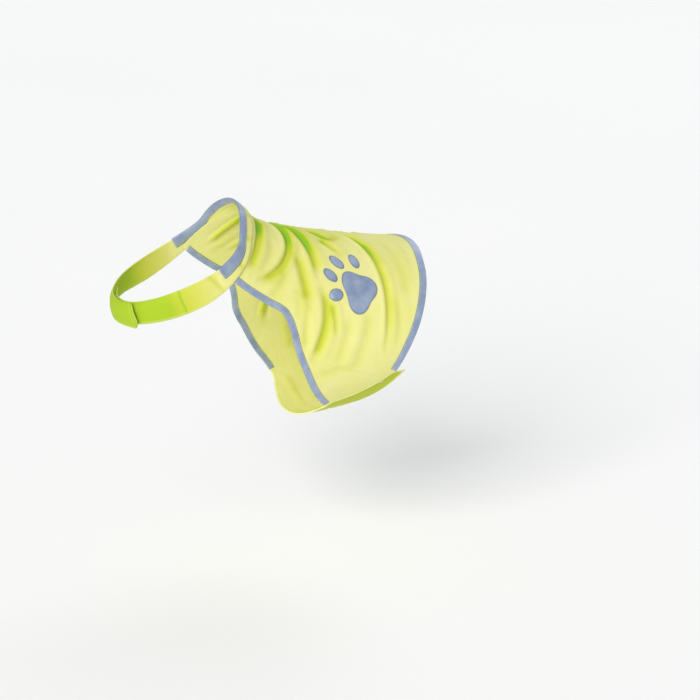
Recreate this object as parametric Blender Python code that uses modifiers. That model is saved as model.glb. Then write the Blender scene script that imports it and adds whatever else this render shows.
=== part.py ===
"""Dog safety vest, worn and fastened. Metres, +Z up, the front faces -Y, the left side is +X.

The vest is cut from one body panel and one collar band. Both are laid on a general trunk and
neck, given as a short table of sections. A place on that form is a station, counted from the
upper neck edge (0) past the rear edge (5), and an angle in degrees from the spine, positive
down the left side.
"""

import bpy
import numpy as np

# ---------------------------------------------------------------- driving sizes, in millimetres
CLOTH = 1.4  # wall of the body cloth
BAND = 2.0  # wall of the collar band, cloth folded double
TAPE = 1.0  # wall of the reflective tape
TAPE_WIDTH = 9.6  # how far the folded tape reaches in from the edge
PATCH = 1.0  # wall of a hook or loop patch
APPLIQUE = 1.0  # wall of the paw's pieces
SEAM = 0.3  # room between two pieces that are sewn together
TAPE_ROOM = 0.5  # room between the tape and the cloth it is folded over
PANEL_EASE = 1.0  # from the form to the middle of the body cloth
BAND_EASE = 3.1  # from the form to the middle of the collar band, which laps over the panel
PANEL_ROWS = 26  # cells from the front edge to the rear edge, besides the hem cells
HEM_ROWS = (4.8, 9.6)  # distance of the first rows from each edge

# The general form: one row per station, from the upper neck edge back past the vest's rear edge.
# name, top y, top z, bottom y, bottom z, half width, fullness, narrowing of the lower half
FORM = (
    ("neck edge", -129, 45.7, -307, -56.0, 80, 2.0, 0.00),
    ("neck seam", -108, 29.2, -309, -83.0, 86, 2.0, 0.00),
    ("shoulder", -60, 13.2, -272, -185.3, 98, 2.1, 0.05),
    ("withers", 0, -0.3, -160, -239.3, 109, 2.2, 0.08),
    ("ribs", 65, -13.3, -40, -247.3, 115, 2.2, 0.08),
    ("loin", 130, -23.3, 70, -229.3, 113, 2.2, 0.08),
    ("behind", 190, -31.3, 150, -215.3, 108, 2.2, 0.08),
)

# The body panel's cut: one row per line from its front edge to its rear edge.
# name, front station, front angle, rear station, rear angle, bow of the line in degrees,
# lift off the form in mm, cells to the next line
PANEL = (
    ("near hem", 3.76, 132.5, 4.54, 110.5, 2.0, 4.6, 4),
    ("near stitching", 3.18, 106, 4.60, 96, 3, 4.6, 2),
    ("flank low", 2.93, 97, 4.67, 84, 0, 3.4, 2),
    ("flank", 2.67, 87.5, 4.72, 68, 0, 0.8, 2),
    ("shoulder curve", 2.46, 80, 4.74, 54, 0, 0, 2),
    ("kink", 2.28, 76, 4.75, 46, 0, 0, 3),
    ("leg opening", 1.80, 75, 4.75, 36, 0, 0, 3),
    ("binding start", 1.29, 78, 4.76, 28, 0, 0, 2),
    ("neck corner", 1.08, 79, 4.78, 23, 0, 0, 2),
    ("neck low", 0.88, 65, 4.79, 18, 0, 0, 2),
    ("neck side", 0.56, 50, 4.80, 13, 0, 0, 2),
    ("nape side", -0.06, 29, 4.82, 7, 0, 0, 3),
    ("spine", -0.40, 0, 4.83, 0, 0, 0, 3),
    ("far nape side", -0.06, -29, 4.82, -7, 0, 0, 2),
    ("far neck side", 0.56, -50, 4.80, -13, 0, 0, 2),
    ("far neck low", 0.88, -65, 4.79, -18, 0, 0, 2),
    ("far neck corner", 1.08, -79, 4.78, -23, 0, 0, 2),
    ("far binding start", 1.29, -78, 4.76, -28, 0, 0, 3),
    ("far leg opening", 1.80, -75, 4.75, -36, 0, 0, 3),
    ("far kink", 2.28, -76, 4.75, -46, 0, 0, 2),
    ("far shoulder curve", 2.44, -80, 4.74, -54, 0, 0, 2),
    ("far flank", 2.66, -87, 4.72, -68, 0, 0, 2),
    ("far flank low", 2.88, -96, 4.67, -84, 0, 0, 2),
    ("far flap", 3.18, -105, 4.62, -96, 0, 0, 4),
    ("far corner", 3.76, -134, 4.58, -112, 0, 0, 4),
    ("strap start", 3.76, -158, 4.46, -146, 0, 0, 4),
    ("belly", 3.74, -180, 4.38, -180, 0, 0, 5),
    ("strap turn", 3.80, -205, 4.46, -210, 0, 0, 3),
    ("strap side", 3.92, -225, 4.63, -226, 0, 0, 3),
    ("strap inside", 3.78, -240, 4.71, -238, 0, 0, 4),
    ("strap end", 3.36, -254, 4.77, -244, 0, 0, 0),
)

# The collar band's cut: one row per line from its upper edge to its lower edge.
# name, upper station, upper angle, lower station, lower angle, bow, lift in mm, cells to next
COLLAR = (
    ("near strap end", 0.04, 206, 1.03, 203, 0, 0, 3),
    ("throat", 0.00, 180, 1.00, 180, 0, 0, 4),
    ("near front", 0.12, 143, 1.10, 141, 0, 0, 4),
    ("near strap", 0.36, 113, 1.21, 113, 0, 0, 3),
    ("near side", 0.52, 96, 1.26, 98, 0, 0, 2),
    ("tape end", 0.60, 82, 1.26, 85, 0, 0, 2),
    ("near cheek", 0.54, 71, 1.20, 73, 0, 0, 2),
    ("near neck", 0.36, 60, 1.08, 61, 0, 0, 2),
    ("near crest", -0.06, 51, 0.86, 51, 0, 0, 2),
    ("near nape", -0.45, 39, 0.46, 39, 0, 0, 3),
    ("nape side", -0.74, 22, 0.00, 22, 0, 0, 2),
    ("nape", -0.88, 0, -0.16, 0, 0, 0, 2),
    ("far nape side", -0.74, -22, 0.00, -22, 0, 0, 3),
    ("far nape", -0.45, -39, 0.46, -39, 0, 0, 2),
    ("far crest", -0.06, -51, 0.86, -51, 0, 0, 2),
    ("far neck", 0.36, -60, 1.08, -61, 0, 0, 2),
    ("far cheek", 0.54, -71, 1.20, -73, 0, 0, 2),
    ("far tape end", 0.60, -82, 1.26, -85, 0, 0, 2),
    ("far side", 0.52, -96, 1.26, -98, 0, 0, 3),
    ("far strap", 0.36, -113, 1.21, -113, 0, 1.2, 3),
    ("far front", 0.04, -143, 0.98, -143, 0, 5.4, 5),
    ("throat outside", 0.02, -177, 1.00, -178, 0, 5.8, 3),
    ("tab", 0.16, -196, 1.06, -197, 0, 5.8, 2),
    ("tab end", 0.34, -206, 1.14, -210, 0, 6.8, 0),
)

# The largest folds: each is a trough along a bent line, with a softer ridge beside it.
# name, start, middle and end of the line as station and angle, half width, depth at the start,
# depth at the end, and the side of the ridge (1 is the left of the line's way, -1 the right)
FOLDS = (
    ("collar fold", 0.62, 12, 1.12, 46, 1.34, 64, 8, 5.0, 2.5, 1),
    ("nape to leg", 1.36, 4, 1.80, 37, 1.58, 66, 9, 4.5, 3.5, 1),
    ("shoulder top", 1.78, 6, 2.22, 26, 2.58, 50, 9, 5.0, 2.0, 1),
    ("shoulder side", 2.03, 38, 2.33, 53, 2.60, 68, 9, 2.5, 2.5, -1),
    ("back crease", 2.47, 6, 2.76, 14, 3.08, 5, 8, 3.0, 1.5, 1),
    ("back slant", 2.51, 17, 2.72, 23, 2.92, 29, 8, 2.5, 2.0, 1),
    ("long rear fold", 3.28, 4, 3.79, 43, 4.18, 92, 10, 4.0, 2.0, 1),
    ("flank drop", 2.78, 60, 3.05, 78, 3.14, 96, 9, 3.0, 3.0, -1),
    ("below the paw", 3.03, 67, 3.18, 76, 3.30, 84, 7, 2.2, 1.2, 1),
    ("far collar fold", 0.74, -14, 1.16, -42, 1.34, -62, 9, 4.5, 3.0, -1),
    ("far nape to leg", 1.42, -8, 1.88, -30, 1.82, -58, 9, 4.0, 3.0, -1),
    ("far shoulder top", 2.00, -10, 2.36, -34, 2.50, -62, 10, 4.5, 2.0, -1),
    ("far back slant", 2.80, -12, 3.00, -26, 3.10, -44, 8, 2.5, 2.0, 1),
    ("far long fold", 3.50, -8, 3.86, -38, 4.02, -84, 11, 3.5, 2.5, -1),
    ("far flank drop", 2.84, -58, 3.16, -80, 3.34, -98, 9, 2.5, 3.0, 1),
)

# The paw's pieces: one row each, placed on the left flank.
# name, station, angle, length, width, turn in degrees from straight back towards down, how far
# its three lobes stand out as a share of the size, and the lobes' own turn
PAW = (
    ("paw_pad", 3.42, 57.4, 66, 42, 50, 0.17, 40),
    ("paw_toe_1", 2.81, 49, 27, 12.5, 36, 0, 0),
    ("paw_toe_2", 2.88, 38.5, 28, 12.5, 38, 0, 0),
    ("paw_toe_3", 3.24, 36, 25, 12.5, 60, 0, 0),
    ("paw_toe_4", 3.03, 61.5, 21, 17, 30, 0, 0),
)

# name, base colour as sRGB, roughness, metallic
MATERIALS = {
    "yellow cloth": ("DDE862", 0.85, 0.0),
    "reflective tape": ("8C9DC0", 0.45, 0.1),
    "hook and loop": ("C6CFA6", 0.95, 0.0),
}


# ---------------------------------------------------------------- the general form
def smooth_rows(table, place):
    """The table's numbers at fractional places, on a smooth curve through its rows. It runs
    straight on for one row before the first."""
    rows = np.array([row[1:] for row in table], float)
    first, last = rows[0] - rows[1], rows[-1] - rows[-2]
    rows = np.vstack([rows[0] + 2 * first, rows[0] + first, rows, rows[-1] + last])
    place = np.clip(place, -1, len(table) - 1 - 1e-9) + 2
    low = np.floor(place).astype(int)
    f = (place - low)[..., None]
    a, b, c, d = rows[low - 1], rows[low], rows[low + 1], rows[low + 2]
    curve = 2 * b + (c - a) * f + (2 * a - 5 * b + 4 * c - d) * f**2
    return 0.5 * (curve + (3 * b - a - 3 * c + d) * f**3)


def form_point(station, angle):
    """Points of the form, in mm."""
    station, angle = np.broadcast_arrays(np.asarray(station, float), np.asarray(angle, float))
    row = smooth_rows(FORM, station)
    top_y, top_z, low_y, low_z, half, full, narrow = np.moveaxis(row, -1, 0)
    up = np.cos(np.radians(angle))
    out = np.sin(np.radians(angle))
    narrowing = 1 - narrow * np.maximum(0, -up) ** 2
    up = np.sign(up) * np.abs(up) ** (2 / full)
    out = np.sign(out) * np.abs(out) ** (2 / full)
    x = half * out * narrowing
    y = (top_y + low_y) / 2 + (top_y - low_y) / 2 * up
    z = (top_z + low_z) / 2 + (top_z - low_z) / 2 * up
    return np.stack([x, y, z], -1)


def unit(vectors):
    return vectors / np.linalg.norm(vectors, axis=-1, keepdims=True)


def form_frame(station, angle):
    """The form's back way per station, its down way per degree, and its outward normal."""
    back = (form_point(station + 0.01, angle) - form_point(station - 0.01, angle)) / 0.02
    down = (form_point(station, angle + 0.5) - form_point(station, angle - 0.5)) / 1.0
    return back, down, unit(np.cross(down, back))


def fold_height(station, angle):
    """How far the folds move the cloth out, in mm."""
    point = form_point(station, angle)
    back, down, normal = form_frame(station, angle)
    height = np.zeros(point.shape[:-1])
    steps = np.linspace(0, 1, 17)
    for row in FOLDS:
        ends = np.array(row[1:7], float).reshape(3, 2)
        width, first, last, side = row[7:]
        curve = (
            np.outer((1 - steps) * (1 - 2 * steps), ends[0])
            + np.outer(4 * steps * (1 - steps), ends[1])
            + np.outer(steps * (2 * steps - 1), ends[2])
        )
        line = form_point(curve[:, 0], curve[:, 1])
        best = np.full(height.shape, 1e9)
        along = np.zeros(height.shape)
        offset = np.zeros(height.shape)
        for i in range(len(line) - 1):
            way = line[i + 1] - line[i]
            part = np.clip(((point - line[i]) @ way) / (way @ way), 0, 1)
            gap = point - line[i] - part[..., None] * way
            far = np.linalg.norm(gap, axis=-1)
            cross = np.sign((np.cross(normal, way) * gap).sum(-1))
            closer = far < best
            best = np.where(closer, far, best)
            along = np.where(closer, (i + part) / (len(line) - 1), along)
            offset = np.where(closer, far * cross * side, offset)
        depth = (first + (last - first) * along) * np.minimum(1, 6 * (1 - along) + 0.25)
        trough = np.exp(-((best / width) ** 2))
        end = (np.maximum(0, best - 3 * width) / width) ** 2
        ridge = np.exp(-(((offset - 1.7 * width) / width) ** 2) - end)
        height += depth * (0.55 * ridge * np.minimum(1, 6 * along + 0.3) - trough)
    return height


# ---------------------------------------------------------------- sheets laid on the form
class Sheet:
    """A piece cut between two edges, as a grid of points: [line, row]."""

    def __init__(self, table, fractions, ease, folded):
        self.table = table
        counts = [row[-1] for row in table[:-1]]
        self.marks = dict(zip([row[0] for row in table], np.cumsum([0] + counts)))
        places = [i + k / n for i, n in enumerate(counts) for k in range(n)]
        self.lines = self.line_rows(np.array(places + [len(table) - 1.0]))
        self.fractions = np.array([fractions(self.length(row)) for row in self.lines])
        station, angle = self.place(self.lines[:, None, :], self.fractions)
        self.station, self.angle = station, angle
        lift = self.lines[:, 5][:, None]
        height = fold_height(station, angle) * self.fade(station, angle) if folded else 0
        base = form_point(station, angle)
        normal = form_frame(station, angle)[2]
        self.points = base + normal * (ease + lift + height)[..., None]
        across = np.gradient(self.points, axis=0)
        along = np.gradient(self.points, axis=1)
        self.normals = unit(np.cross(along, across))
        if (self.normals * normal).sum() < 0:
            self.normals = -self.normals

    def line_rows(self, places):
        """The table's numbers between its rows, straight from row to row."""
        rows = np.array([row[1:7] for row in self.table], float)
        low = np.minimum(places.astype(int), len(rows) - 2)
        return rows[low] + (rows[low + 1] - rows[low]) * (places - low)[:, None]

    def place(self, line, fraction):
        """Station and angle at a fraction of the way along a line."""
        station = line[..., 0] + (line[..., 2] - line[..., 0]) * fraction
        bow = line[..., 4] * 4 * fraction * (1 - fraction)
        return station, line[..., 1] + (line[..., 3] - line[..., 1]) * fraction + bow

    def length(self, line):
        station, angle = self.place(line, np.linspace(0, 1, 13))
        points = form_point(station, angle)
        return np.linalg.norm(np.diff(points, axis=0), axis=1).sum()

    def fade(self, station, angle):
        """Folds die out under the collar band and at the rear hem."""
        lower = sorted((row[4], row[3]) for row in COLLAR if 0 <= row[4] < 180)
        band_edge = np.interp(np.abs(angle), *np.transpose(lower))
        start = np.clip((station - band_edge + 0.1) / 0.35, 0, 1)
        end = np.clip((4.62 - station) / 0.25, 0, 1)
        return start * start * (3 - 2 * start) * end

    def index(self, station, angle):
        """Fractional grid place of a station and angle."""
        low, high = 0.0, len(self.lines) - 1.0
        turn = np.sign(self.lines[-1, 1] - self.lines[0, 1])
        for _ in range(40):
            middle = (low + high) / 2
            line, fraction = self.line_at(middle, station)
            if (self.place(line, fraction)[1] - angle) * turn < 0:
                low = middle
            else:
                high = middle
        line, fraction = self.line_at(low, station)
        i = min(int(low), len(self.lines) - 2)
        rows = self.fractions[i] + (self.fractions[i + 1] - self.fractions[i]) * (low - i)
        return low, np.interp(fraction, rows, np.arange(len(rows)))

    def line_at(self, place, station):
        i = min(int(place), len(self.lines) - 2)
        line = self.lines[i] + (self.lines[i + 1] - self.lines[i]) * (place - i)
        return line, (station - line[0]) / (line[2] - line[0])

    def at(self, station, angle, out):
        """A point on the sheet's own facets, moved out along its normal."""
        i, j = self.index(station, angle)
        low_i = min(int(i), self.points.shape[0] - 2)
        low_j = min(int(j), self.points.shape[1] - 2)
        u, v = i - low_i, j - low_j
        corner = np.s_[low_i : low_i + 2, low_j : low_j + 2]
        if forward_split(self.points[corner]):
            weight = np.array([[1 - max(u, v), max(v - u, 0)], [max(u - v, 0), min(u, v)]])
        else:
            weight = np.array([[max(1 - u - v, 0), min(v, 1 - u)], [min(u, 1 - v), max(u + v - 1, 0)]])
        weight = weight[..., None]
        point = (self.points[corner] * weight).sum((0, 1))
        normal = unit((self.normals[corner] * weight).sum((0, 1)))
        return point + normal * out, normal


def forward_split(corner):
    """True where a cell's diagonal from its first corner is the shorter one."""
    return np.linalg.norm(corner[1, 1] - corner[0, 0]) <= np.linalg.norm(corner[1, 0] - corner[0, 1])


def panel_fractions(length):
    near = np.array((0.0,) + HEM_ROWS) / length
    middle = np.linspace(near[-1], 1 - near[-1], PANEL_ROWS + 1)[1:-1]
    return np.concatenate([near, middle, 1 - near[::-1]])


def band_fractions(length):
    return np.array((0.0, TAPE_WIDTH / length, 0.5 + TAPE_WIDTH / length / 2, 1.0))


# ---------------------------------------------------------------- objects
def material(name):
    found = bpy.data.materials.get(name)
    if found:
        return found
    made = bpy.data.materials.new(name)
    made.use_nodes = True
    code, roughness, metallic = MATERIALS[name]
    channels = [int(code[i : i + 2], 16) / 255 for i in (0, 2, 4)]
    linear = [c / 12.92 if c <= 0.04045 else ((c + 0.055) / 1.055) ** 2.4 for c in channels]
    shader = made.node_tree.nodes["Principled BSDF"]
    shader.inputs["Base Color"].default_value = (*linear, 1)
    shader.inputs["Roughness"].default_value = roughness
    shader.inputs["Metallic"].default_value = metallic
    made.diffuse_color = (*linear, 1)
    return made


def sheet_object(name, points, faces, wall, look):
    """A sheet as an object at its own centre, with its wall from a Solidify modifier."""
    points = np.asarray(points, float) * 0.001
    centre = (points.min(0) + points.max(0)) / 2
    mesh = bpy.data.meshes.new(name)
    mesh.from_pydata([tuple(p) for p in points - centre], [], faces)
    mesh.validate()
    mesh.materials.append(material(look))
    piece = bpy.data.objects.new(name, mesh)
    piece.location = centre
    piece.parent = holder
    garment.objects.link(piece)
    solidify = piece.modifiers.new("wall", "SOLIDIFY")
    solidify.thickness = wall * 0.001
    solidify.offset = 0
    solidify.use_even_offset = True
    solidify.use_rim = True
    return piece


def grid_faces(grid):
    """Triangles of a grid of points, each cell split along its shorter diagonal."""
    faces = []
    across, along = grid.shape[:2]
    for i in range(across - 1):
        for j in range(along - 1):
            a = i * along + j
            b, c, d = a + 1, a + along + 1, a + along
            if forward_split(grid[i : i + 2, j : j + 2]):
                faces += [(a, b, c), (a, c, d)]
            else:
                faces += [(a, b, d), (b, c, d)]
    return faces


def grid_object(name, grid, wall, look):
    faces = grid_faces(grid)
    return sheet_object(name, grid.reshape(-1, 3), faces, wall, look)


def folded_tape(name, wall, rows):
    """Tape folded over a sheet's edge. Each row is the edge's and the inner line's outer points,
    their normals, and the way out past the edge."""
    out = wall / 2 + TAPE_ROOM + TAPE / 2
    grid = []
    for edge, inner, edge_normal, inner_normal in rows:
        way = unit(edge - inner)
        way = unit(way - edge_normal * (way @ edge_normal))
        tip = edge + way * (TAPE_ROOM + TAPE / 2)
        ring = [inner + inner_normal * out, edge + edge_normal * out, tip + edge_normal * out]
        ring += [tip - edge_normal * out, edge - edge_normal * out, inner - inner_normal * out]
        grid.append(ring)
    return grid_object(name, np.array(grid), TAPE, "reflective tape")


def own_rows(sheet, first, last, edge, inner, cuts=(0, 0)):
    """Rows for a tape along the sheet's own grid lines; cuts slide the inner line at each end."""
    found = []
    start, end = sheet.marks[first], sheet.marks[last]
    for i in range(start, end + 1):
        slide = (i == start) * cuts[0] + (i == end) * cuts[1]
        run = unit(sheet.points[min(i + 1, end), inner] - sheet.points[max(i - 1, start), inner])
        point = sheet.points[i, inner] + run * slide
        found.append((sheet.points[i, edge], point, sheet.normals[i, edge], sheet.normals[i, inner]))
    return found


def square_rows(sheet, first, last, edge, side, per_cell):
    """Rows for a tape square to an edge, read from the sheet's facets."""
    found = []
    start, end = sheet.marks[first], sheet.marks[last]
    places = np.linspace(start, end, round(per_cell * (end - start)) + 1)
    grid = np.arange(len(sheet.lines))
    stations = np.interp(places, grid, sheet.station[:, edge])
    angles = np.interp(places, grid, sheet.angle[:, edge])
    points = form_point(stations, angles)
    for k, (station, angle) in enumerate(zip(stations, angles)):
        back, down, normal = form_frame(station, angle)
        run = unit(points[min(k + 1, len(points) - 1)] - points[max(k - 1, 0)])
        inward = unit(np.cross(normal, run)) * side
        pair = []
        for reach in (0.0, TAPE_WIDTH):
            step = np.linalg.lstsq(np.stack([back, down], 1), inward * reach, rcond=None)[0]
            pair.append(sheet.at(station + step[0], angle + step[1], 0))
        found.append((pair[0][0], pair[1][0], pair[0][1], pair[1][1]))
    return found


def patch(name, sheet, lines, rows, out):
    """A patch sewn flat on a sheet, over the sheet's own grid cells."""
    cut = np.s_[lines[0] : lines[1] + 1, rows[0] : rows[1] + 1]
    grid = sheet.points[cut] + sheet.normals[cut] * out
    return grid_object(name, grid, PATCH, "hook and loop")


def paw_piece(name, sheet, station, angle, length, width, turn, lobes, lobe_turn):
    """A flat piece with a rounded outline on the sheet, from rings of points round its centre."""
    back, down, _ = form_frame(np.float64(station), np.float64(angle))
    per_station, per_degree = np.linalg.norm(back), np.linalg.norm(down)
    around = 26 if lobes else 18
    rings = (0.5, 1.0) if not lobes else (0.33, 0.67, 1.0)
    out = CLOTH / 2 + SEAM + APPLIQUE / 2
    points = [sheet.at(station, angle, out)[0]]
    for ring in rings:
        for k in range(around):
            theta = 2 * np.pi * k / around
            radius = 1 + lobes * np.cos(3 * (theta - np.radians(lobe_turn)))
            x = ring * radius * length / 2 * np.cos(theta)
            y = ring * radius * width / 2 * np.sin(theta)
            c, s = np.cos(np.radians(turn)), np.sin(np.radians(turn))
            place = (station + (c * x - s * y) / per_station, angle + (s * x + c * y) / per_degree)
            points.append(sheet.at(*place, out)[0])
    faces = [(0, 1 + k, 1 + (k + 1) % around) for k in range(around)]
    for ring in range(len(rings) - 1):
        a = 1 + ring * around
        for k in range(around):
            n = (k + 1) % around
            faces.append((a + k, a + around + k, a + around + n, a + n))
    return sheet_object(name, points, faces, APPLIQUE, "reflective tape")


# ---------------------------------------------------------------- the vest
for old in list(bpy.data.objects):
    bpy.data.objects.remove(old)

garment = bpy.data.collections.new("dog_safety_vest")
bpy.context.scene.collection.children.link(garment)
holder = bpy.data.objects.new("on_wearers_back", None)
garment.objects.link(holder)

panel = Sheet(PANEL, panel_fractions, PANEL_EASE, True)
band = Sheet(COLLAR, band_fractions, BAND_EASE, False)
grid_object("body_panel", panel.points, CLOTH, "yellow cloth")
grid_object("collar_band", band.points, BAND, "yellow cloth")

rows = square_rows(panel, "near hem", "binding start", 0, -1, 2)
folded_tape("binding_leg_left", CLOTH, rows)
rows = square_rows(panel, "far binding start", "far corner", 0, -1, 2)
folded_tape("binding_leg_right", CLOTH, rows)
rows = square_rows(panel, "near hem", "far corner", -1, 1, 1.5)
folded_tape("binding_rear", CLOTH, rows)
rows = own_rows(band, "tape end", "far tape end", 0, 1, (-1, 1))
folded_tape("collar_tape", BAND, rows)

flap = CLOTH / 2 + SEAM + PATCH / 2
mark = panel.marks
patch("patch_hook_belly", panel, (mark["near hem"] + 1, mark["near stitching"] - 1), (4, 22), -flap)
patch("patch_loop_belly", panel, (mark["strap inside"], mark["strap end"] - 1), (5, 21), flap)
strap = BAND / 2 + SEAM + PATCH / 2
mark = band.marks
patch("patch_loop_throat", band, (1, mark["throat"] + 2), (1, 2), strap)
patch("patch_hook_throat", band, (mark["throat outside"] - 1, mark["tab end"] - 1), (1, 2), -strap)

for row in PAW:
    paw_piece(row[0], panel, *row[1:])
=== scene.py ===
import bpy
import numpy as np
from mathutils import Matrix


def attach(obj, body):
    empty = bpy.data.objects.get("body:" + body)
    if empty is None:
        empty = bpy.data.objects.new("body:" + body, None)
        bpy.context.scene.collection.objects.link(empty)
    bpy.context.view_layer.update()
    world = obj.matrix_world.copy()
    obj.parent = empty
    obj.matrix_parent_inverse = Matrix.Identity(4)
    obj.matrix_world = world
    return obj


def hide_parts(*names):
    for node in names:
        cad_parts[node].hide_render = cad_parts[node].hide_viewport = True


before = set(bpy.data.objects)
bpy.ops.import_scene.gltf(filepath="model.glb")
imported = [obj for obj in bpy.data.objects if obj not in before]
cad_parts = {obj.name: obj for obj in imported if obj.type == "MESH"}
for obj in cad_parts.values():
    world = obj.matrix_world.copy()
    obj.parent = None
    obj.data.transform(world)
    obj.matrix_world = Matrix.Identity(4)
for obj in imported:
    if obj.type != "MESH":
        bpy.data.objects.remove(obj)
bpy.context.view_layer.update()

# ---------------------------------------------------------------- body panel
# One cut of fluorescent yellow polyester. It wraps the back, both flanks and the belly, where its
# far end passes under as a strap and its near end closes over that with hook and loop.

# The general figure's trunk, as rings from the upper neck edge back.
# top y, top z, bottom y, bottom z, half width, fullness, narrowing of the lower half, in mm
trunk = (
    (-129, 45.7, -307, -56.0, 80, 2.0, 0.00),
    (-108, 29.2, -309, -83.0, 86, 2.0, 0.00),
    (-60, 13.2, -272, -185.3, 98, 2.1, 0.05),
    (0, -0.3, -160, -239.3, 109, 2.2, 0.08),
    (65, -13.3, -40, -247.3, 115, 2.2, 0.08),
    (130, -23.3, 70, -229.3, 113, 2.2, 0.08),
    (190, -31.3, 150, -215.3, 108, 2.2, 0.08),
)

# The panel's lines from its front edge to its rear edge, from the near hem over the back to the
# strap's end: front ring and angle, rear ring and angle, bow in degrees, lift off the trunk in mm
panel_lines = (
    (3.76, 132.5, 4.54, 110.5, 2, 4.6),
    (3.18, 106, 4.60, 96, 3, 4.6),
    (2.93, 97, 4.67, 84, 0, 3.4),
    (2.67, 87.5, 4.72, 68, 0, 0.8),
    (2.46, 80, 4.74, 54, 0, 0),
    (2.28, 76, 4.75, 46, 0, 0),
    (1.80, 75, 4.75, 36, 0, 0),
    (1.29, 78, 4.76, 28, 0, 0),
    (1.08, 79, 4.78, 23, 0, 0),
    (0.88, 65, 4.79, 18, 0, 0),
    (0.56, 50, 4.80, 13, 0, 0),
    (-0.06, 29, 4.82, 7, 0, 0),
    (-0.40, 0, 4.83, 0, 0, 0),
    (-0.06, -29, 4.82, -7, 0, 0),
    (0.56, -50, 4.80, -13, 0, 0),
    (0.88, -65, 4.79, -18, 0, 0),
    (1.08, -79, 4.78, -23, 0, 0),
    (1.29, -78, 4.76, -28, 0, 0),
    (1.80, -75, 4.75, -36, 0, 0),
    (2.28, -76, 4.75, -46, 0, 0),
    (2.44, -80, 4.74, -54, 0, 0),
    (2.66, -87, 4.72, -68, 0, 0),
    (2.88, -96, 4.67, -84, 0, 0),
    (3.18, -105, 4.62, -96, 0, 0),
    (3.76, -134, 4.58, -112, 0, 0),
    (3.76, -158, 4.46, -146, 0, 0),
    (3.74, -180, 4.38, -180, 0, 0),
    (3.80, -205, 4.46, -210, 0, 0),
    (3.92, -225, 4.63, -226, 0, 0),
    (3.78, -240, 4.71, -238, 0, 0),
    (3.36, -254, 4.77, -244, 0, 0),
)

# Where the collar band's lower edge lies over the panel: angle either side of the spine, ring
under_band = (
    (0, -0.16),
    (22, 0.00),
    (39, 0.46),
    (51, 0.86),
    (61, 1.08),
    (73, 1.20),
    (85, 1.26),
    (180, 1.26),
)
# The folds start within this many rings of the band, and are gone at the rear tape's ring.
fold_start = 0.35
rear_tape_ring = 4.62

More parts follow.
